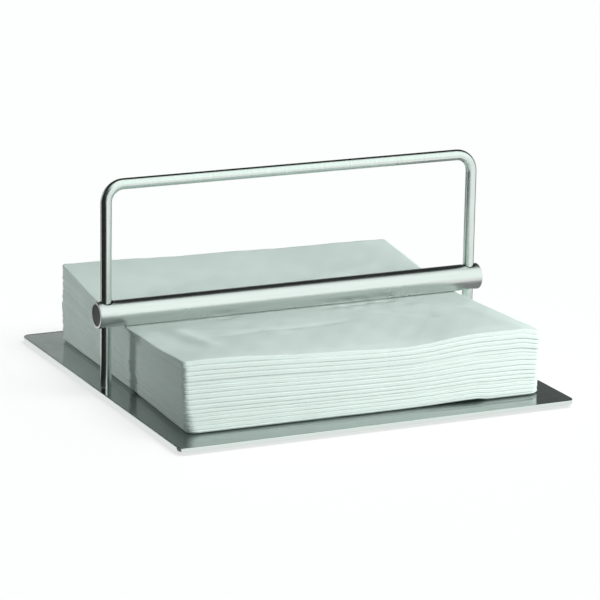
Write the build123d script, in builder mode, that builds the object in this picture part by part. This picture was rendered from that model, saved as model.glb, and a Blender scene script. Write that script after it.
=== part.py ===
"""Napkin holder with a loose weighted bar.

A square steel plate carries a bow of bent rod, screwed on from below. A heavy bar slides up
and down the bow's two legs and rests on a stack of folded napkins, so it holds them down.

Millimetres. The origin is on the table, under the plate's centre. +X runs along the bar,
+Y runs from the front edge to the back edge, and +Z is up.
"""
import os

from build123d import *

os.makedirs("parts", exist_ok=True)

# Napkin stack: folded paper napkins, pressed down along the middle by the bar
napkin_width = 166.0
napkin_depth = 161.5
napkin_corner_radius = 2.5
napkin_count = 16
stack_height_at_bar = 27.4
stack_rise_front = 3.6
stack_rise_back = 7.4
stack_centre_x = 0.9
stack_centre_y = 0.3
stack_turn_bottom = 0.6
stack_turn_top = 2.0

# Base plate
plate_margin = 12.0
plate_thickness = 2.0
plate_corner_radius = 4.0
plate_edge_round = 0.3

# Bow of bent rod
rod_diameter = 5.0
leg_inset = 4.6
bow_height = 92.2
bow_bend_radius = 8.0

# Screws that hold the bow's feet to the plate, from below
thread_diameter = 3.0
thread_clearance = 0.05
thread_engagement = 6.0
thread_hole_spare_depth = 1.5
screw_hole_clearance = 0.2
screw_head_diameter = 5.5
screw_head_recess = 0.15
screw_head_seat_clearance = 0.03
socket_across_flats = 2.0
socket_depth = 0.8

# Anti-slip pads under the plate
pad_diameter = 12.0
pad_thickness = 1.5
pad_inset = 15.0
pad_edge_round = 0.3

# Weighted bar: a tube with a solid core, an end cap at each end and a bush round each leg
tube_diameter = 12.0
tube_wall = 1.0
tube_edge_round = 0.25
bush_running_clearance = 0.06
bush_wall = 0.8
bush_recess = 0.25
core_clearance = 0.04
core_end_gap = 0.1
cap_clearance = 0.02
cap_thickness = 0.98
cap_recess = 0.2
cap_end_gap = 0.06
bar_rest_clearance = 0.3
bar_top_clearance = 0.5

# Sizes that follow from the ones above
plate_side = napkin_width + 2 * plate_margin
plate_bottom_z = pad_thickness
plate_top_z = plate_bottom_z + plate_thickness
leg_x = plate_side / 2 - leg_inset
rod_radius = rod_diameter / 2
bow_top_z = plate_top_z + bow_height
thread_radius = thread_diameter / 2
thread_hole_radius = thread_radius + thread_clearance
screw_hole_radius = thread_radius + screw_hole_clearance
screw_head_radius = screw_head_diameter / 2
screw_head_height = screw_head_radius - thread_radius
countersink_radius = screw_head_radius + screw_head_recess + screw_head_seat_clearance
tube_radius = tube_diameter / 2
tube_bore_radius = tube_radius - tube_wall
bush_bore_radius = rod_radius + bush_running_clearance
bush_radius = bush_bore_radius + bush_wall
cap_inner_x = leg_x + bush_radius + cap_end_gap
bar_end_x = cap_inner_x + cap_thickness + cap_recess
core_end_x = leg_x - bush_radius - core_end_gap
bar_z = plate_top_z + stack_height_at_bar + bar_rest_clearance + tube_radius
bar_travel = bow_top_z - bow_bend_radius - bar_top_clearance - tube_radius - bar_z
pad_offset = plate_side / 2 - pad_inset

sides = {"left": -1, "right": 1}
rows = {"front": -1, "back": 1}


def write(piece, name):
    """Label one finished piece and write it under its own name."""
    piece.part.label = name
    export_step(piece.part, f"parts/{name}.step")


# Base plate, with a countersunk hole under each foot of the bow
underside = Plane(origin=(0, 0, plate_bottom_z), x_dir=(1, 0, 0), z_dir=(0, 0, -1))
with BuildPart() as base_plate:
    with BuildSketch(Plane.XY.offset(plate_bottom_z)):
        RectangleRounded(plate_side, plate_side, plate_corner_radius)
    extrude(amount=plate_thickness)
    fillet(base_plate.faces().sort_by(Axis.Z)[-1].edges(), plate_edge_round)
    with Locations(underside):
        with Locations((-leg_x, 0), (leg_x, 0)):
            CounterSinkHole(screw_hole_radius, countersink_radius, plate_thickness, 90)
write(base_plate, "base_plate")

# Bow: one rod bent twice, standing on the plate, with a threaded hole up each foot
feet = Plane(origin=(0, 0, plate_top_z), x_dir=(1, 0, 0), z_dir=(0, 0, -1))
with BuildPart() as bow:
    with BuildLine(Plane.XZ) as bow_line:
        FilletPolyline(
            (-leg_x, plate_top_z),
            (-leg_x, bow_top_z),
            (leg_x, bow_top_z),
            (leg_x, plate_top_z),
            radius=bow_bend_radius,
        )
    with BuildSketch(Plane.XY.offset(plate_top_z)):
        with Locations((-leg_x, 0)):
            Circle(rod_radius)
    sweep(path=bow_line.wires()[0])
    with Locations(feet):
        with Locations((-leg_x, 0), (leg_x, 0)):
            Hole(thread_hole_radius, thread_engagement + thread_hole_spare_depth)
write(bow, "bow")

# Foot screws: countersunk head with a hexagon socket, threads drawn at their outer diameter
head_bottom_z = plate_bottom_z + screw_head_recess
head_top_z = head_bottom_z + screw_head_height
for side, sign in sides.items():
    with BuildPart() as foot_screw:
        with BuildSketch(Plane.XY.offset(head_bottom_z)):
            with Locations((sign * leg_x, 0)):
                Circle(screw_head_radius)
        with BuildSketch(Plane.XY.offset(head_top_z)):
            with Locations((sign * leg_x, 0)):
                Circle(thread_radius)
        loft()
        with BuildSketch(Plane.XY.offset(head_top_z)):
            with Locations((sign * leg_x, 0)):
                Circle(thread_radius)
        extrude(amount=plate_top_z + thread_engagement - head_top_z)
        with BuildSketch(Plane.XY.offset(head_bottom_z)):
            with Locations((sign * leg_x, 0)):
                RegularPolygon(socket_across_flats / 2, 6, major_radius=False)
        extrude(amount=socket_depth, mode=Mode.SUBTRACT)
    write(foot_screw, f"{side}_foot_screw")

# Anti-slip pads, stuck to the underside near the corners
for row, row_sign in rows.items():
    for side, sign in sides.items():
        with BuildPart() as pad:
            with BuildSketch(Plane.XY):
                with Locations((sign * pad_offset, row_sign * pad_offset)):
                    Circle(pad_diameter / 2)
            extrude(amount=pad_thickness)
            fillet(pad.faces().sort_by(Axis.Z)[0].edges(), pad_edge_round)
        write(pad, f"{row}_{side}_pad")

# Bar tube, with a hole through both walls for each guide bush
with BuildPart() as bar_tube:
    with BuildSketch(Plane(origin=(-bar_end_x, 0, bar_z), x_dir=(0, 1, 0), z_dir=(1, 0, 0))):
        Circle(tube_radius)
    extrude(amount=2 * bar_end_x)
    fillet(bar_tube.edges().filter_by(GeomType.CIRCLE), tube_edge_round)
    with BuildSketch(Plane(origin=(-bar_end_x, 0, bar_z), x_dir=(0, 1, 0), z_dir=(1, 0, 0))):
        Circle(tube_bore_radius)
    extrude(amount=2 * bar_end_x, mode=Mode.SUBTRACT)
    with BuildSketch(Plane.XY.offset(bar_z)):
        with Locations((-leg_x, 0), (leg_x, 0)):
            Circle(bush_radius)
    extrude(amount=tube_diameter, both=True, mode=Mode.SUBTRACT)
write(bar_tube, "bar_tube")

# Solid core that gives the bar its weight, filling the tube between the two bushes
with BuildPart() as bar_core:
    with BuildSketch(Plane(origin=(-core_end_x, 0, bar_z), x_dir=(0, 1, 0), z_dir=(1, 0, 0))):
        Circle(tube_bore_radius - core_clearance)
    extrude(amount=2 * core_end_x)
write(bar_core, "bar_core")

# Guide bushes: plain sleeves through the tube that run on the bow's legs
for side, sign in sides.items():
    with BuildPart() as guide_bush:
        with BuildSketch(Plane(origin=(sign * leg_x, 0, bar_z), x_dir=(0, 1, 0), z_dir=(1, 0, 0))):
            Circle(tube_radius - bush_recess)
        extrude(amount=2 * bush_radius, both=True)
        with BuildSketch(Plane.XY.offset(bar_z)):
            with Locations((sign * leg_x, 0)):
                Circle(bush_radius)
                Circle(bush_bore_radius, mode=Mode.SUBTRACT)
        extrude(amount=tube_diameter, both=True, mode=Mode.INTERSECT)
    write(guide_bush, f"{side}_guide_bush")

# End caps: discs pushed into the tube, set back a little from its ends
for side, sign in sides.items():
    with BuildPart() as end_cap:
        with BuildSketch(Plane(origin=(sign * cap_inner_x, 0, bar_z), x_dir=(0, 1, 0), z_dir=(sign, 0, 0))):
            Circle(tube_bore_radius - cap_clearance)
        extrude(amount=cap_thickness)
    write(end_cap, f"{side}_end_cap")

# Napkins, from the plate up. Every one is a slab with the stack's valley in it. The valley
# deepens from nothing at the plate to the full dip at the top, and each napkin lies turned
# clockwise a little further than the one below.
half_span = plate_side / 2


def stack_line(share, y):
    """Height of a napkin's face at y, where share is 0 at the plate and 1 at the stack's top."""
    rise = stack_rise_back if y > 0 else stack_rise_front
    return plate_top_z + share * (stack_height_at_bar + rise * abs(y) / (napkin_depth / 2))


for number in range(1, napkin_count + 1):
    low_share = (number - 1) / napkin_count
    high_share = number / napkin_count
    turn = stack_turn_bottom + (stack_turn_top - stack_turn_bottom) * high_share
    with BuildPart() as napkin:
        with BuildSketch(Plane.YZ):
            with BuildLine():
                Polyline(
                    (-half_span, stack_line(low_share, -half_span)),
                    (0, stack_line(low_share, 0)),
                    (half_span, stack_line(low_share, half_span)),
                    (half_span, stack_line(high_share, half_span)),
                    (0, stack_line(high_share, 0)),
                    (-half_span, stack_line(high_share, -half_span)),
                    close=True,
                )
            make_face()
        extrude(amount=half_span, both=True)
        with BuildSketch(Plane.XY):
            with Locations((stack_centre_x, stack_centre_y)):
                RectangleRounded(
                    napkin_width,
                    napkin_depth,
                    napkin_corner_radius,
                    rotation=-turn,
                )
        extrude(amount=bow_top_z, mode=Mode.INTERSECT)
    write(napkin, f"napkin_{number:02d}")

print(f"plate {plate_side:.1f} square, legs at x {leg_x:.2f}, bar ends at x {bar_end_x:.2f}")
print(f"bar axis {bar_z:.2f} above the table, free travel {bar_travel:.2f}")
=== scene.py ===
"""Looks of the napkin holder: polished plate and bow, satin bar, and a stack of tissue napkins.

Everything is in metres in the holder's own frame: the origin is on the table under the plate's
centre, +X runs along the bar, +Y goes from the front edge to the back edge, and +Z is up.
"""
import math

import bpy
import numpy as np
from mathutils import Matrix, Vector


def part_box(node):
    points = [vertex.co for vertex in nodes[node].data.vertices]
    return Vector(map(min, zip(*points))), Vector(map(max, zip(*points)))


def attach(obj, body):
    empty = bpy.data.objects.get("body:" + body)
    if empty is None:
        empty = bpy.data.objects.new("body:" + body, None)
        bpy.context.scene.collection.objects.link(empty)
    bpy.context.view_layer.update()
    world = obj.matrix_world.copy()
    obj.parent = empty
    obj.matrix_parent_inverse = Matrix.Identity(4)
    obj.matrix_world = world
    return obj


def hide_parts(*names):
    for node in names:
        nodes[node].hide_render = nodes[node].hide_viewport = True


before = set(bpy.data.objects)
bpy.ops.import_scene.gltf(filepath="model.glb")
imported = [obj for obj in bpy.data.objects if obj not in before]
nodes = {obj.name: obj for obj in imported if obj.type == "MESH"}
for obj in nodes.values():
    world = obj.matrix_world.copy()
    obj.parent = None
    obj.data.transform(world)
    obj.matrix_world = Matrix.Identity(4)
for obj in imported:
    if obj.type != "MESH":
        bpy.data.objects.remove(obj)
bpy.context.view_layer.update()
scene = bpy.context.scene
MM = 0.001

# Heights and centres that the frame gives
plate_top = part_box("base_plate")[1].z
tube_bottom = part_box("bar_tube")[0].z
first_low, first_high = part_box("napkin_01")
stack_centre = ((first_low.x + first_high.x) / 2, (first_low.y + first_high.y) / 2)
napkin_names = sorted(name for name in nodes if name.startswith("napkin_"))
napkin_count = len(napkin_names)

# Camera, as it stood in the photograph
photo_pixels = 600
focal_pixels = 3182.5
camera_azimuth = math.radians(25.45)
camera_elevation = math.radians(15.03)
camera_roll = math.radians(-1.004)
camera_distance = 1.4503
camera_right_shift = 4.415 * MM
camera_up_shift = 30.28 * MM
sensor_width_mm = 36.0

# Napkin stack
napkin_width = 166 * MM
napkin_depth = 161.5 * MM
napkin_corner = 2.4 * MM
low_corner_extra = 3.5 * MM
stack_turn_bottom = math.radians(0.6)
stack_turn_top = math.radians(2.0)
stack_turn_slack = 0.001
stack_slip = 0.15 * MM
bar_gap = 0.3 * MM
fold_depth = 0.7 * MM
fold_bluntness = 3.2
foot_undercut = 1.6 * MM
front_spread = 0.024
plies = 4

# Share of the stack's height that each napkin takes up at the front, from the plate up
fold_heights = [
    0.9, 0.95, 1.0, 1.0, 0.75, 1.0, 1.1, 1.2, 1.35, 0.95, 0.9, 1.1, 1.2, 1.1, 1.25, 1.1
]
fold_tops = np.concatenate([[0.0], np.cumsum(fold_heights) / np.sum(fold_heights)])

# Creases of the uppermost napkin: start, end, width and height, before creases_gain
creases_gain = 1.7
creases = [
    ((-0.066, -0.012), (-0.062, -0.052), 5.0 * MM, 0.5 * MM),
    ((-0.052, -0.020), (-0.018, -0.040), 3.5 * MM, 0.3 * MM),
    ((-0.046, -0.034), (0.012, -0.030), 3.0 * MM, -0.28 * MM),
    ((0.036, -0.022), (0.052, -0.040), 4.0 * MM, -0.35 * MM),
    ((0.052, -0.016), (0.072, -0.030), 4.0 * MM, 0.35 * MM),
    ((0.020, 0.030), (0.066, 0.048), 6.0 * MM, 0.3 * MM),
    ((-0.060, 0.040), (-0.010, 0.056), 7.0 * MM, -0.3 * MM),
]

# Dimples along the front of the bar: place along the bar, width and depth
dimples = [
    (18 * MM, 3.0 * MM, 0.6 * MM),
    (27 * MM, 4.0 * MM, 1.0 * MM),
    (35 * MM, 3.0 * MM, 0.8 * MM),
    (46 * MM, 4.5 * MM, 0.7 * MM),
    (-34 * MM, 5.0 * MM, 0.5 * MM),
]

# Directions in which metal is brushed
along_bar = (1.0, 0.0, 0.0)
across_bar = (0.0, 1.0, 0.0)
upwards = (0.0, 0.0, 1.0)

# Colours of light in the room
white_light = (1.0, 1.0, 1.0)
room_tint = (0.85, 1.0, 0.95)
mirror_tint = (0.92, 1.0, 0.97)
card_tint = (0.93, 1.0, 0.97)


def new_object(name, points, faces):
    """A smooth mesh object at the origin, from an array of points and lists of point numbers."""
    mesh = bpy.data.meshes.new(name)
    mesh.from_pydata(points.tolist(), [], faces)
    mesh.polygons.foreach_set("use_smooth", np.ones(len(mesh.polygons), bool))
    mesh.update()
    piece = bpy.data.objects.new(name, mesh)
    scene.collection.objects.link(piece)
    return piece


# Shader nodes


def feed(tree, socket, value):
    """Links an input to a socket, or sets it to a plain value."""
    if isinstance(value, bpy.types.NodeSocket):
        tree.links.new(value, socket)
    else:
        socket.default_value = value


def add_group(name, inputs, outputs):
    """A shader node group with named inputs and outputs, and its two end nodes."""
    tree = bpy.data.node_groups.new(name, "ShaderNodeTree")
    for label, kind, value in inputs:
        socket = tree.interface.new_socket(name=label, in_out="INPUT", socket_type=kind)
        if value is not None:
            socket.default_value = value
    for label, kind in outputs:
        tree.interface.new_socket(name=label, in_out="OUTPUT", socket_type=kind)
    start = tree.nodes.new("NodeGroupInput")
    end = tree.nodes.new("NodeGroupOutput")
    return tree, start, end


def add_group_node(tree, group, **values):
    """Places a node group, with its inputs set or linked by name."""
    node = tree.nodes.new("ShaderNodeGroup")
    node.node_tree = group
    for label, value in values.items():
        feed(tree, node.inputs[label], value)
    return node


def add_math(tree, operation, *operands):
    """One Math node. Each operand is a socket or a number."""
    node = tree.nodes.new("ShaderNodeMath")
    node.operation = operation
    for socket, operand in zip(node.inputs, operands):
        feed(tree, socket, operand)
    return node.outputs[0]


def add_range(tree, value, from_low, from_high, to_low, to_high, smooth=False):
    """Maps a value from one range to another, held at the ends."""
    node = tree.nodes.new("ShaderNodeMapRange")
    node.interpolation_type = "SMOOTHSTEP" if smooth else "LINEAR"
    tree.links.new(value, node.inputs["Value"])
    ends = {"From Min": from_low, "From Max": from_high, "To Min": to_low, "To Max": to_high}
    for label, end in ends.items():
        feed(tree, node.inputs[label], end)
    return node.outputs["Result"]


def add_noise(tree, vector, scale, detail=3.0, roughness=0.5):
    """Noise over a vector."""
    node = tree.nodes.new("ShaderNodeTexNoise")
    node.inputs["Scale"].default_value = scale
    node.inputs["Detail"].default_value = detail
    node.inputs["Roughness"].default_value = roughness
    tree.links.new(vector, node.inputs["Vector"])
    return node.outputs["Fac"]


def add_stretch(tree, vector, stretch):
    """Stretches a vector, so that a pattern on it turns into a grain."""
    node = tree.nodes.new("ShaderNodeVectorMath")
    node.operation = "MULTIPLY"
    tree.links.new(vector, node.inputs[0])
    feed(tree, node.inputs[1], stretch)
    return node.outputs["Vector"]


def split_vector(tree, vector):
    """The three parts of a vector, by the names X, Y and Z."""
    node = tree.nodes.new("ShaderNodeSeparateXYZ")
    tree.links.new(vector, node.inputs[0])
    return node.outputs


def add_mix(tree, kind, factor, first, second):
    """Runs from the first colour or vector to the second by a factor."""
    node = tree.nodes.new("ShaderNodeMix")
    node.data_type = kind
    tree.links.new(factor, node.inputs["Factor"])
    ends = [socket for socket in node.inputs if socket.type == kind and socket.name in "AB"]
    feed(tree, ends[0], first)
    feed(tree, ends[1], second)
    return [socket for socket in node.outputs if socket.type == kind][0]


def mix_shaders(tree, choice, first, second):
    """Takes the second shader where the choice is 1."""
    node = tree.nodes.new("ShaderNodeMixShader")
    for socket, source in zip(node.inputs, (choice, first, second)):
        tree.links.new(source, socket)
    return node.outputs[0]


# Shared effects


def make_smudge_group():
    """Roughness of handled metal: a base value with soft patches of fingerprint haze."""
    tree, start, end = add_group(
        "handled_metal",
        [
            ("Vector", "NodeSocketVector", None),
            ("Polished", "NodeSocketFloat", 0.1),
            ("Hazy", "NodeSocketFloat", 0.2),
        ],
        [("Roughness", "NodeSocketFloat")],
    )
    vector, polished, hazy = (start.outputs[label] for label in ("Vector", "Polished", "Hazy"))
    patches = add_noise(tree, vector, 22.0, 4.0, 0.55)
    specks = add_noise(tree, vector, 260.0, 2.0, 0.5)
    haze = add_math(tree, "MULTIPLY_ADD", specks, 0.35, patches)
    rough = add_range(tree, haze, 0.5, 0.95, polished, hazy, True)
    tree.links.new(rough, end.inputs["Roughness"])
    return tree


def make_grain_group():
    """Fine parallel scratches: noise drawn out by its stretch, as a height and as a mask."""
    tree, start, end = add_group(
        "metal_grain",
        [("Vector", "NodeSocketVector", None), ("Stretch", "NodeSocketVector", None)],
        [("Height", "NodeSocketFloat"), ("Mask", "NodeSocketFloat")],
    )
    stretched = add_stretch(tree, start.outputs["Vector"], start.outputs["Stretch"])
    fine = add_noise(tree, stretched, 1.0, 5.0, 0.65)
    tree.links.new(fine, end.inputs["Height"])
    tree.links.new(add_range(tree, fine, 0.35, 0.7, 0.0, 1.0), end.inputs["Mask"])
    return tree


def make_brush_group():
    """Direction in which brushing spreads a reflection.

    It is upright in the bow's legs, below the bends and well out from the middle, and the level
    direction that the group is given everywhere else."""
    tree, start, end = add_group(
        "brush_direction",
        [("Vector", "NodeSocketVector", None), ("Level", "NodeSocketVector", None)],
        [("Tangent", "NodeSocketVector")],
    )
    place = split_vector(tree, start.outputs["Vector"])
    leg = add_range(tree, add_math(tree, "ABSOLUTE", place["X"]), 0.084, 0.0885, 0.0, 1.0)
    below_bend = add_range(tree, place["Z"], 0.0885, 0.093, 1.0, 0.0)
    upright = add_math(tree, "MULTIPLY", leg, below_bend)
    tangent = add_mix(tree, "VECTOR", upright, start.outputs["Level"], upwards)
    tree.links.new(tangent, end.inputs["Tangent"])
    return tree


def make_tissue_group():
    """Tissue paper: crepe ripples and loose fibres as a height, and a faint tone."""
    tree, start, end = add_group(
        "tissue",
        [("Vector", "NodeSocketVector", None)],
        [("Height", "NodeSocketFloat"), ("Tone", "NodeSocketFloat")],
    )
    vector = start.outputs["Vector"]
    crepe = add_noise(tree, add_stretch(tree, vector, (900.0, 2600.0, 900.0)), 1.0, 3.0, 0.6)
    fibres = add_noise(tree, vector, 1500.0, 4.0, 0.7)
    clouds = add_noise(tree, vector, 60.0, 3.0, 0.5)
    tree.links.new(add_math(tree, "ADD", crepe, fibres), end.inputs["Height"])
    tree.links.new(clouds, end.inputs["Tone"])
    return tree


smudge_group = make_smudge_group()
grain_group = make_grain_group()
brush_group = make_brush_group()
tissue_group = make_tissue_group()


# Materials


def start_material(name):
    """A new material with its node tree, its Principled shader and its object coordinates."""
    material = bpy.data.materials.new(name)
    material.use_nodes = True
    tree = material.node_tree
    shader = tree.nodes["Principled BSDF"]
    place = tree.nodes.new("ShaderNodeTexCoord").outputs["Object"]
    return material, tree, shader, place


def add_bump(tree, shader, height, distance):
    """Bends the shader's normal by a height that is worth a distance in metres."""
    bump = tree.nodes.new("ShaderNodeBump")
    bump.inputs["Distance"].default_value = distance
    bump.inputs["Strength"].default_value = 1.0
    tree.links.new(height, bump.inputs["Height"])
    tree.links.new(bump.outputs["Normal"], shader.inputs["Normal"])


def add_two_colours(tree, shader, mask, first, second):
    """Base colour that runs from the first colour to the second by a mask."""
    colour = add_mix(tree, "RGBA", mask, (*first, 1.0), (*second, 1.0))
    tree.links.new(colour, shader.inputs["Base Color"])


def make_steel(name, dark, light, polished, hazy, stretch, depth, brushed=0.0, level=along_bar):
    """Stainless steel: a grain of fine scratches under patches of haze.

    Where it is brushed, it spreads reflections more along the brushed direction than across."""
    material, tree, shader, place = start_material(name)
    shader.inputs["Metallic"].default_value = 1.0
    smudge = add_group_node(tree, smudge_group, Vector=place, Polished=polished, Hazy=hazy)
    grain = add_group_node(tree, grain_group, Vector=place, Stretch=stretch)
    tree.links.new(smudge.outputs["Roughness"], shader.inputs["Roughness"])
    add_two_colours(tree, shader, grain.outputs["Mask"], dark, light)
    add_bump(tree, shader, grain.outputs["Height"], depth)
    shader.inputs["Anisotropic"].default_value = brushed
    brush = add_group_node(tree, brush_group, Vector=place, Level=level)
    tree.links.new(brush.outputs["Tangent"], shader.inputs["Tangent"])
    return material


def brighten_edge(material, edge_colour):
    """Colours the polished edge of a level sheet, told apart by how level the surface lies."""
    tree = material.node_tree
    base_colour = tree.nodes["Principled BSDF"].inputs["Base Color"]
    geometry = tree.nodes.new("ShaderNodeNewGeometry")
    normal = split_vector(tree, geometry.outputs["True Normal"])
    edge = add_range(tree, add_math(tree, "ABSOLUTE", normal["Z"]), 0.5, 0.9, 1.0, 0.0)
    face_colour = base_colour.links[0].from_socket
    tree.links.new(add_mix(tree, "RGBA", edge, face_colour, (*edge_colour, 1.0)), base_colour)


def make_moulded(name, dark, light, low, high):
    """Moulded plastic or rubber: a fine spark-eroded texture with an uneven sheen."""
    material, tree, shader, place = start_material(name)
    fine = add_noise(tree, place, 2500.0, 2.0)
    cloud = add_noise(tree, place, 180.0, 3.0)
    tree.links.new(add_range(tree, cloud, 0.3, 0.7, low, high), shader.inputs["Roughness"])
    add_two_colours(tree, shader, cloud, dark, light)
    add_bump(tree, shader, fine, 0.02 * MM)
    return material


def make_paper(name, shade, light):
    """Soft tissue napkin."""
    material, tree, shader, place = start_material(name)
    tissue = add_group_node(tree, tissue_group, Vector=place)
    shader.inputs["Roughness"].default_value = 0.9
    shader.inputs["Specular IOR Level"].default_value = 0.15
    add_two_colours(tree, shader, tissue.outputs["Tone"], shade, light)
    add_bump(tree, shader, tissue.outputs["Height"], 0.1 * MM)
    return material


plate_steel = make_steel(
    name="plate_steel",
    dark=(0.43, 0.46, 0.45),
    light=(0.49, 0.52, 0.51),
    polished=0.12,
    hazy=0.18,
    stretch=(60.0, 2400.0, 60.0),
    depth=0.0006 * MM,
    brushed=0.6,
    level=across_bar,
)
brighten_edge(plate_steel, (0.7, 0.76, 0.73))
bow_steel = make_steel(
    name="bow_steel",
    dark=(0.7, 0.76, 0.73),
    light=(0.76, 0.82, 0.79),
    polished=0.2,
    hazy=0.26,
    stretch=(900.0, 900.0, 90.0),
    depth=0.0003 * MM,
    brushed=0.8,
)
tube_steel = make_steel(
    name="tube_steel",
    dark=(0.68, 0.705, 0.69),
    light=(0.74, 0.765, 0.75),
    polished=0.27,
    hazy=0.32,
    stretch=(60.0, 2600.0, 2600.0),
    depth=0.0002 * MM,
    brushed=0.5,
)
screw_steel = make_steel(
    name="screw_steel",
    dark=(0.42, 0.43, 0.44),
    light=(0.5, 0.51, 0.52),
    polished=0.25,
    hazy=0.4,
    stretch=(900.0, 900.0, 900.0),
    depth=0.001 * MM,
)
core_steel = make_steel(
    name="core_steel",
    dark=(0.35, 0.35, 0.36),
    light=(0.45, 0.45, 0.46),
    polished=0.35,
    hazy=0.5,
    stretch=(60.0, 1800.0, 1800.0),
    depth=0.001 * MM,
)
cap_plastic = make_moulded("cap_plastic", (0.018, 0.03, 0.026), (0.03, 0.046, 0.04), 0.4, 0.55)
bush_plastic = make_moulded(
    "bush_plastic", (0.01, 0.012, 0.012), (0.018, 0.02, 0.02), 0.4, 0.55
)
pad_rubber = make_moulded("pad_rubber", (0.03, 0.03, 0.03), (0.05, 0.05, 0.05), 0.65, 0.85)
tissue_paper = make_paper("tissue_paper", (0.705, 0.79, 0.757), (0.765, 0.85, 0.817))

finishes = {
    "base_plate": plate_steel,
    "bow": bow_steel,
    "bar_tube": tube_steel,
    "bar_core": core_steel,
    "left_end_cap": cap_plastic,
    "right_end_cap": cap_plastic,
    "left_guide_bush": bush_plastic,
    "right_guide_bush": bush_plastic,
    "left_foot_screw": screw_steel,
    "right_foot_screw": screw_steel,
}
for name, node in nodes.items():
    finish = finishes.get(name, pad_rubber if name.endswith("_pad") else tissue_paper)
    for place_slot in node.material_slots:
        place_slot.material = finish


# Napkins


def smooth_step(value, low, high):
    """0 below low, 1 above high, and an even S-curve between."""
    share = np.clip((value - low) / (high - low), 0, 1)
    return share * share * (3 - 2 * share)


def bump_at(distance, width):
    """A soft bell, 1 at no distance and nearly 0 past twice the width."""
    return np.exp(-((distance / width) ** 2))


def waves(rng, x, y, longest, count=5):
    """A smooth random field from -1 to 1: a few sine waves of random direction, each shorter."""
    total = np.zeros(np.broadcast(x, y).shape)
    for step in range(count):
        angle = rng.uniform(0, np.pi)
        phase = rng.uniform(0, 2 * np.pi)
        rate = 2 * np.pi / longest * 1.6**step
        total = total + np.sin(rate * (x * np.cos(angle) + y * np.sin(angle)) + phase) / 1.6**step
    return total / 2


def crease(x, y, start, end, width, height):
    """A soft ridge along a straight line that fades at its ends, or below 0 height a groove."""
    run = np.array(end) - np.array(start)
    length = np.hypot(*run)
    along = ((x - start[0]) * run[0] + (y - start[1]) * run[1]) / length**2
    across = ((x - start[0]) * run[1] - (y - start[1]) * run[0]) / length
    ends = smooth_step(along, -0.25, 0.15) * (1 - smooth_step(along, 0.85, 1.25))
    return height * ends * bump_at(across, width)


def rounded_outline(width, depth, corner, straight_steps, corner_steps):
    """Points once round a rectangle with round corners, and the direction outwards at each.

    Each quarter of a square is one straight side, stepped evenly, and the quarter circle after it.
    The other quarters are the first one turned by 90 degrees, 180 degrees and 270 degrees, and
    the square is then drawn out to the rectangle's width."""
    flat = depth / 2 - corner
    along = np.linspace(-flat, flat, straight_steps, endpoint=False)
    angle = np.linspace(0, np.pi / 2, corner_steps, endpoint=False)
    edge = np.stack([along, np.full_like(along, -depth / 2)], 1)
    edge_out = np.stack([np.zeros_like(along), -np.ones_like(along)], 1)
    turn_out = np.stack([np.sin(angle), -np.cos(angle)], 1)
    points = np.concatenate([edge, np.array([flat, -flat]) + corner * turn_out])
    out = np.concatenate([edge_out, turn_out])
    quarters = [k * math.pi / 2 for k in range(4)]
    spins = [
        np.array([[math.cos(q), math.sin(q)], [-math.sin(q), math.cos(q)]]) for q in quarters
    ]
    stretch = np.array([width / depth, 1])
    points_round = np.concatenate([points @ spin for spin in spins]) * stretch
    return points_round, np.concatenate([out @ spin for spin in spins])


def stack_height(x, y):
    """Height of the stack's top over the plate.

    It is lowest under the bar and rises on both sides by a power of the distance from it. The
    front rises more at its two ends than in the middle, the right end droops at its edge, and the
    last centimetre rolls off towards the front folds."""
    reach = napkin_depth / 2
    at_bar = tube_bottom - plate_top - bar_gap
    left_end = smooth_step(15 * MM - x, 0, 100 * MM)
    right_end = smooth_step(x, 18 * MM, 56 * MM)
    droop = smooth_step(x, 72 * MM, 86 * MM)
    front = (2.2 + 3.2 * left_end + 2.7 * right_end - 2.2 * droop) * MM
    back = (7.0 + 0.7 * smooth_step(-x, 30 * MM, 80 * MM)) * MM
    front_share = np.clip(-y / reach, 0, None) ** 1.35
    back_share = np.clip(y / reach, 0, None) ** 1.45
    roll_off = 0.9 * MM * smooth_step(-y, 71 * MM, 84 * MM)
    return at_bar + front * front_share + back * back_share - roll_off


def layer_height(level, x, y):
    """Height of the face between two napkins, where level counts the napkins below it.

    The napkins are even in the middle of the stack and uneven at the front folds. Near the front
    edge, right of the middle, the lowest ones are lifted off the plate in a small ripple, which
    grows slowly from the left and ends in a kink."""
    even = level / napkin_count
    share = even + (fold_tops[level] - even) * smooth_step(-y, 30 * MM, 75 * MM)
    from_kink = x - 53 * MM
    ripple = np.where(from_kink < 0, bump_at(from_kink, 19 * MM), bump_at(from_kink, 3.5 * MM))
    lift = 0.75 * MM * ripple * smooth_step(-y, 62 * MM, 80 * MM) * (1 - even) ** 1.5
    return plate_top + share * (stack_height(x, y) - lift) + lift


def top_relief(x, y):
    """Creases, hollows and dimples of the uppermost napkin, in metres.

    The creases and hollows fade out towards the bar. The dimples lie along the front of the bar,
    where its weight puckers the paper: each is a pit with a lower ridge in front of it."""
    relief = 0.22 * MM * waves(np.random.default_rng(7), x, y, 70 * MM, 5)
    for start, end, width, height in creases:
        relief = relief + crease(x, y, start, end, width, height)
    relief = creases_gain * relief * smooth_step(np.abs(y), 7 * MM, 22 * MM)
    for at_x, width, depth in dimples:
        along = bump_at(x - at_x, width)
        relief = relief - depth * along * bump_at(y + 3.5 * MM, 3.0 * MM)
        relief = relief + 0.6 * depth * along * bump_at(y + 10 * MM, 3.5 * MM)
    return relief


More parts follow.
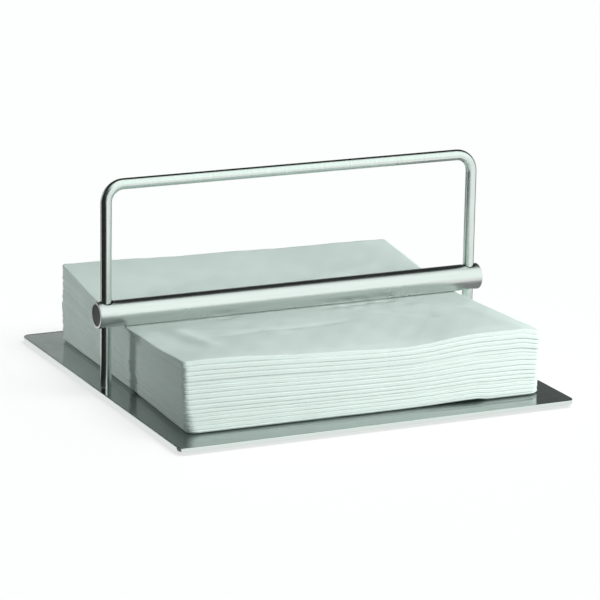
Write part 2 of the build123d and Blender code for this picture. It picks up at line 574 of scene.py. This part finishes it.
def fold_inset(rng, round_x, round_y, rise):
    """How far in a front rim lies: one blunt fold, a superellipse with a faint crease in it."""
    swell = np.clip(1 - np.abs(2 * rise - 1) ** fold_bluntness, 0, 1) ** (1 / fold_bluntness)
    strength = rng.uniform(0.6, 1.4) + 0.5 * waves(rng, round_x, round_y, 0.9)[:, None]
    fold = np.clip(strength, 0.35, None) * fold_depth * (1 - swell)
    return fold + rng.uniform(0.02, 0.12) * MM * bump_at(rise - rng.uniform(0.4, 0.6), 0.08)


def ply_inset(rng, round_x, round_y, rise):
    """How far in any other rim lies: cut edges of folded plies, each drawn in by its own amount."""
    ply_cut = 0.14 * MM * np.abs(np.cos(plies * np.pi * rise)) ** 3
    ply_number = np.minimum((rise * plies).astype(int), plies - 1)
    ply_setback = np.zeros((len(round_x), len(rise)))
    for ply in range(plies):
        setback = (rng.uniform(0.02, 0.34) + 0.12 * waves(rng, round_x, round_y, 1.1)) * MM
        ply_setback[:, ply_number == ply] = setback[:, None]
    return ply_cut + ply_setback


def make_napkin(level, rim_steps, under_rings, top_rings):
    """One folded napkin, as a profile carried round a rectangle with round corners.

    The profile runs from the middle of the underside out to the rim, up the rim and back to the
    middle of the top. The rim is a fold at the front and the edges of plies on the other sides.
    The front half spreads a little sideways, where the bar doesn't hold it."""
    rng = np.random.default_rng(100 + level)
    level_share = level / napkin_count
    corner = napkin_corner + low_corner_extra * (1 - level_share) ** 3
    path, out = rounded_outline(napkin_width, napkin_depth, corner, 130, 14)
    front_side = smooth_step(-out[:, 1], 0.3, 0.9)[:, None]
    rise = (1 - np.cos(np.linspace(0, np.pi, rim_steps))) / 2

    # How far in the rim lies at each height
    round_x, round_y = path[:, 0] / napkin_depth * 2, path[:, 1] / napkin_depth * 2
    fold = fold_inset(rng, round_x, round_y, rise)
    cut_edges = ply_inset(rng, round_x, round_y, rise)
    wander = waves(rng, round_x, round_y, 0.8, 6)[:, None]
    inset = front_side * fold + (1 - front_side) * cut_edges
    inset = inset + (0.1 * wander + rng.uniform(0, 0.4) * front_side) * MM
    if level == 1:
        inset = inset + foot_undercut * (1 - rise) ** 2.5

    # From the middle of the underside, over the rim, to the middle of the top
    rim = path[:, None, :] - out[:, None, :] * inset[:, :, None]
    reach_under = np.linspace(0, 1, under_rings + 1)[1:-1] ** 0.8
    reach_top = np.linspace(1, 0, top_rings + 1)[1:-1] ** 0.9
    under = rim[:, :1, :] * reach_under[None, :, None]
    top = rim[:, -1:, :] * reach_top[None, :, None]
    flat = np.concatenate([under, rim, top], 1)
    share = np.concatenate([np.zeros(len(reach_under)), rise, np.ones(len(reach_top))])

    # Turned and set in its place in the stack
    turn = stack_turn_bottom + (stack_turn_top - stack_turn_bottom) * level_share**0.6
    turn = -turn + rng.normal(0, stack_turn_slack)
    slip = rng.normal(0, 1, 2) * stack_slip
    c, s = math.cos(turn), math.sin(turn)
    flat[..., 0] *= 1 + front_spread * smooth_step(-flat[..., 1], 0, napkin_depth / 2)
    x = stack_centre[0] + slip[0] + flat[..., 0] * c - flat[..., 1] * s
    y = stack_centre[1] + slip[1] + flat[..., 0] * s + flat[..., 1] * c
    low = layer_height(level - 1, x, y)
    high = layer_height(level, x, y)
    if level == napkin_count:
        high = high + top_relief(x, y)
    return x, y, low + (high - low) * share[None, :]


def skin(name, x, y, z):
    """Closes a grid of points, round by across, into one skin with a point at each pole."""
    around, across = x.shape
    points = np.stack([x, y, z], -1).reshape(-1, 3)
    index = np.arange(around * across).reshape(around, across)
    after = np.roll(index, -1, 0)
    corners = [index[:, :-1], after[:, :-1], after[:, 1:], index[:, 1:]]
    quads = np.stack(corners, -1).reshape(-1, 4)
    low_pole = points[index[:, 0]].mean(0)
    high_pole = points[index[:, -1]].mean(0)
    points = np.concatenate([points, [low_pole, high_pole]])
    low_index, high_index = len(points) - 2, len(points) - 1
    low_fan = [[low_index, b, a] for a, b in zip(index[:, 0], after[:, 0])]
    high_fan = [[high_index, a, b] for a, b in zip(index[:, -1], after[:, -1])]
    return new_object(name, points, quads.tolist() + low_fan + high_fan)


for number, node_name in enumerate(napkin_names, start=1):
    top_rings = 110 if number == napkin_count else 8
    x, y, z = make_napkin(number, 21, 8, top_rings)
    napkin = skin(f"tissue_{number:02d}", x, y, z)
    napkin.data.materials.append(tissue_paper)
    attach(napkin, "holder")
    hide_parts(node_name)


# Floor: pale to the camera, white in polished metal, and dull where it would light the object
floor_half = 6.0
floor = new_object(
    "floor",
    np.array([[-1, -1, 0], [1, -1, 0], [1, 1, 0], [-1, 1, 0]], float) * floor_half,
    [[0, 1, 2, 3]],
)
floor_paint = bpy.data.materials.new("floor_paint")
floor_paint.use_nodes = True
tree = floor_paint.node_tree
tree.nodes.remove(tree.nodes["Principled BSDF"])
paths = tree.nodes.new("ShaderNodeLightPath")
shaded = tree.nodes.new("ShaderNodeBsdfDiffuse")
shaded.inputs["Color"].default_value = (0.45, 0.45, 0.45, 1)
glow = tree.nodes.new("ShaderNodeEmission")
glow.inputs["Color"].default_value = (0.62, 0.62, 0.62, 1)
pale = tree.nodes.new("ShaderNodeAddShader")
tree.links.new(shaded.outputs[0], pale.inputs[0])
tree.links.new(glow.outputs[0], pale.inputs[1])
dull = tree.nodes.new("ShaderNodeBsdfDiffuse")
dull.inputs["Color"].default_value = (0.35, 0.36, 0.355, 1)
bright = tree.nodes.new("ShaderNodeEmission")
bright.inputs["Color"].default_value = (*white_light, 1)
seen = mix_shaders(tree, paths.outputs["Is Diffuse Ray"], pale.outputs[0], dull.outputs[0])
seen = mix_shaders(tree, paths.outputs["Is Glossy Ray"], seen, bright.outputs[0])
tree.links.new(seen, tree.nodes["Material Output"].inputs["Surface"])
floor.data.materials.append(floor_paint)


# Lamps. The floor has its own, so that its shadow stays soft and the object's light its own


def add_lamp(name, kind, place, target, energy):
    """A lamp that lights surfaces but doesn't show in polished metal, where the sky does."""
    data = bpy.data.lights.new(name, kind)
    data.energy = energy
    lamp = bpy.data.objects.new(name, data)
    scene.collection.objects.link(lamp)
    turn = (Vector(target) - Vector(place)).to_track_quat("-Z", "Y").to_matrix().to_4x4()
    lamp.matrix_world = Matrix.Translation(Vector(place)) @ turn
    lamp.visible_glossy = False
    return lamp


stack_middle = (0, 0, 0.03)
left_rear_side = (-0.082, 0.075, 0.02)
key = add_lamp("key", "AREA", (0.42, -0.60, 0.34), stack_middle, 6.5)
key.data.shape = "RECTANGLE"
key.data.size = 0.45
key.data.size_y = 0.4
top_light = add_lamp("top_light", "AREA", (0.5, 0.7, 0.64), stack_middle, 2.45)
top_light.data.shape = "RECTANGLE"
top_light.data.size = 0.7
top_light.data.size_y = 0.6
kicker = add_lamp("kicker", "SPOT", (-0.42, 0.56, 0.10), left_rear_side, 14.0)
kicker.data.spot_size = math.radians(15)
kicker.data.spot_blend = 1.0
kicker.data.shadow_soft_size = 0.08
floor_sun = add_lamp("floor_sun", "SUN", (0.3, -0.5, 1.0), (0, 0, 0), 2.0)
floor_sun.data.angle = math.radians(50)

floor_only = bpy.data.collections.new("floor_only")
floor_only.objects.link(floor)
floor_sun.light_linking.receiver_collection = floor_only
not_floor = bpy.data.collections.new("not_floor")
not_floor.objects.link(floor)
for lamp in (key, top_light, kicker):
    lamp.light_linking.receiver_collection = not_floor
not_floor.collection_objects[0].light_linking.link_state = "EXCLUDE"


# Cards. One stands close by on the left and one lies on the table by the plate's left edge. The
# others hang just over the table at the front left, on the right and at the back, so that the
# plate's own edge still mirrors the pale table under them


def add_card(name, corners, grey):
    """A flat card that only polished metal shows, as a stand-in for a studio's darker side."""
    card = new_object(name, np.array(corners, float), [list(range(len(corners)))])
    paint = bpy.data.materials.new(name)
    paint.use_nodes = True
    shader = paint.node_tree.nodes["Principled BSDF"]
    shader.inputs["Base Color"].default_value = (0.01, 0.01, 0.01, 1)
    shader.inputs["Roughness"].default_value = 1.0
    shader.inputs["Emission Color"].default_value = (*card_tint, 1)
    shader.inputs["Emission Strength"].default_value = grey
    card.data.materials.append(paint)
    card.visible_camera = False
    card.visible_diffuse = False
    card.visible_shadow = False


def add_level_card(name, outline, height, grey):
    """A card that lies level at a height."""
    add_card(name, [(x, y, height) for x, y in outline], grey)


side_card_x = -0.165
side_card_corners = [(-0.14, 0), (0.055, 0), (0.055, 0.16), (-0.14, 0.16)]
add_card("side_card", [(side_card_x, y, z) for y, z in side_card_corners], 0.0)
edge_card_outline = [(-0.114, -0.096), (-0.0988, -0.096), (-0.0988, 0.14), (-0.114, 0.14)]
add_level_card("edge_card", edge_card_outline, 0.4 * MM, 0.1)
table_card_outline = [
    (-0.0952, -0.0952),
    (-0.30, -1.0),
    (-1.4, -1.0),
    (-1.4, 0.5),
    (-0.75, 0.42),
    (-0.0952, 0.012),
]
add_level_card("table_card", table_card_outline, 3.8 * MM, 0.0)
right_card_outline = [(0.0958, -0.06), (0.15, -0.06), (0.15, 0.06), (0.0958, 0.09)]
add_level_card("right_card", right_card_outline, 4.4 * MM, 0.25)
back_card_outline = [
    (0.0958, 0.0),
    (1.4, 0.0),
    (1.4, 1.4),
    (-1.4, 1.4),
    (-1.4, 0.5),
    (-0.75, 0.42),
    (-0.0958, 0.0958),
    (0.0958, 0.0958),
]
add_level_card("back_card", back_card_outline, 4.2 * MM, 0.22)


# Surroundings: white behind the object, a plain dim light on it, and a studio in its metal


def add_patch(tree, direction, centre, inner, outer):
    """1 where the direction is within the inner angle of a centre, 0 past the outer angle."""
    dot = tree.nodes.new("ShaderNodeVectorMath")
    dot.operation = "DOT_PRODUCT"
    tree.links.new(direction, dot.inputs[0])
    dot.inputs[1].default_value = Vector(centre).normalized()
    low, high = math.cos(math.radians(outer)), math.cos(math.radians(inner))
    return add_range(tree, dot.outputs["Value"], low, high, 0.0, 1.0, True)


def add_background(tree, colour, strength):
    """A background of a plain colour, with a strength that is a number or a socket."""
    node = tree.nodes.new("ShaderNodeBackground")
    node.inputs["Color"].default_value = (*colour, 1)
    feed(tree, node.inputs["Strength"], strength)
    return node.outputs[0]


world = bpy.data.worlds.new("studio")
scene.world = world
world.use_nodes = True
tree = world.node_tree
tree.nodes.clear()
output = tree.nodes.new("ShaderNodeOutputWorld")
paths = tree.nodes.new("ShaderNodeLightPath")
direction = tree.nodes.new("ShaderNodeTexCoord").outputs["Generated"]
parts = split_vector(tree, direction)

# The studio that metal shows: two light boxes, a grey horizon that is darker on the right, and
# near black elsewhere
front_box = add_patch(tree, direction, (0.5, -0.8, 0.35), 38, 62)
over_box = add_patch(tree, direction, (0.1, -0.55, 1.0), 27, 44)
boxes = add_math(tree, "MULTIPLY", add_math(tree, "MAXIMUM", front_box, over_box), 1.25)
horizon = add_range(tree, parts["Z"], 0.27, 0.36, 1.0, 0.0, True)
sideways = add_range(tree, parts["X"], 0.36, 0.48, 0.62, 0.2, True)
studio_grey = add_math(tree, "MAXIMUM", boxes, add_math(tree, "MULTIPLY", horizon, sideways))
studio_grey = add_math(tree, "MAXIMUM", studio_grey, 0.02)

# The plain light is dim from the left and stronger from the right
room_light = add_range(tree, parts["X"], -1.0, 1.0, 0.07, 0.53)
lit = add_background(tree, room_tint, room_light)
shiny = add_background(tree, mirror_tint, studio_grey)
white = add_background(tree, white_light, 1.0)
seen = mix_shaders(tree, paths.outputs["Is Glossy Ray"], lit, shiny)
seen = mix_shaders(tree, paths.outputs["Is Camera Ray"], seen, white)
seen = mix_shaders(tree, paths.outputs["Is Transmission Ray"], seen, white)
tree.links.new(seen, output.inputs["Surface"])


# Camera
view_forward = Vector(
    (
        math.sin(camera_azimuth) * math.cos(camera_elevation),
        math.cos(camera_azimuth) * math.cos(camera_elevation),
        -math.sin(camera_elevation),
    )
)
view_right = Vector((math.cos(camera_azimuth), -math.sin(camera_azimuth), 0))
view_down = view_forward.cross(view_right)
c, s = math.cos(camera_roll), math.sin(camera_roll)
view_right, view_down = c * view_right + s * view_down, c * view_down - s * view_right
camera_place = (
    Vector((0, 0, plate_top))
    + view_right * camera_right_shift
    - view_down * camera_up_shift
    - view_forward * camera_distance
)
camera_data = bpy.data.cameras.new("camera")
camera_data.sensor_width = sensor_width_mm
camera_data.lens = focal_pixels / photo_pixels * sensor_width_mm
camera = bpy.data.objects.new("camera", camera_data)
scene.collection.objects.link(camera)
camera_turn = Matrix((view_right, -view_down, -view_forward)).transposed().to_4x4()
camera.matrix_world = Matrix.Translation(camera_place) @ camera_turn
scene.camera = camera

scene.view_settings.view_transform = "Standard"
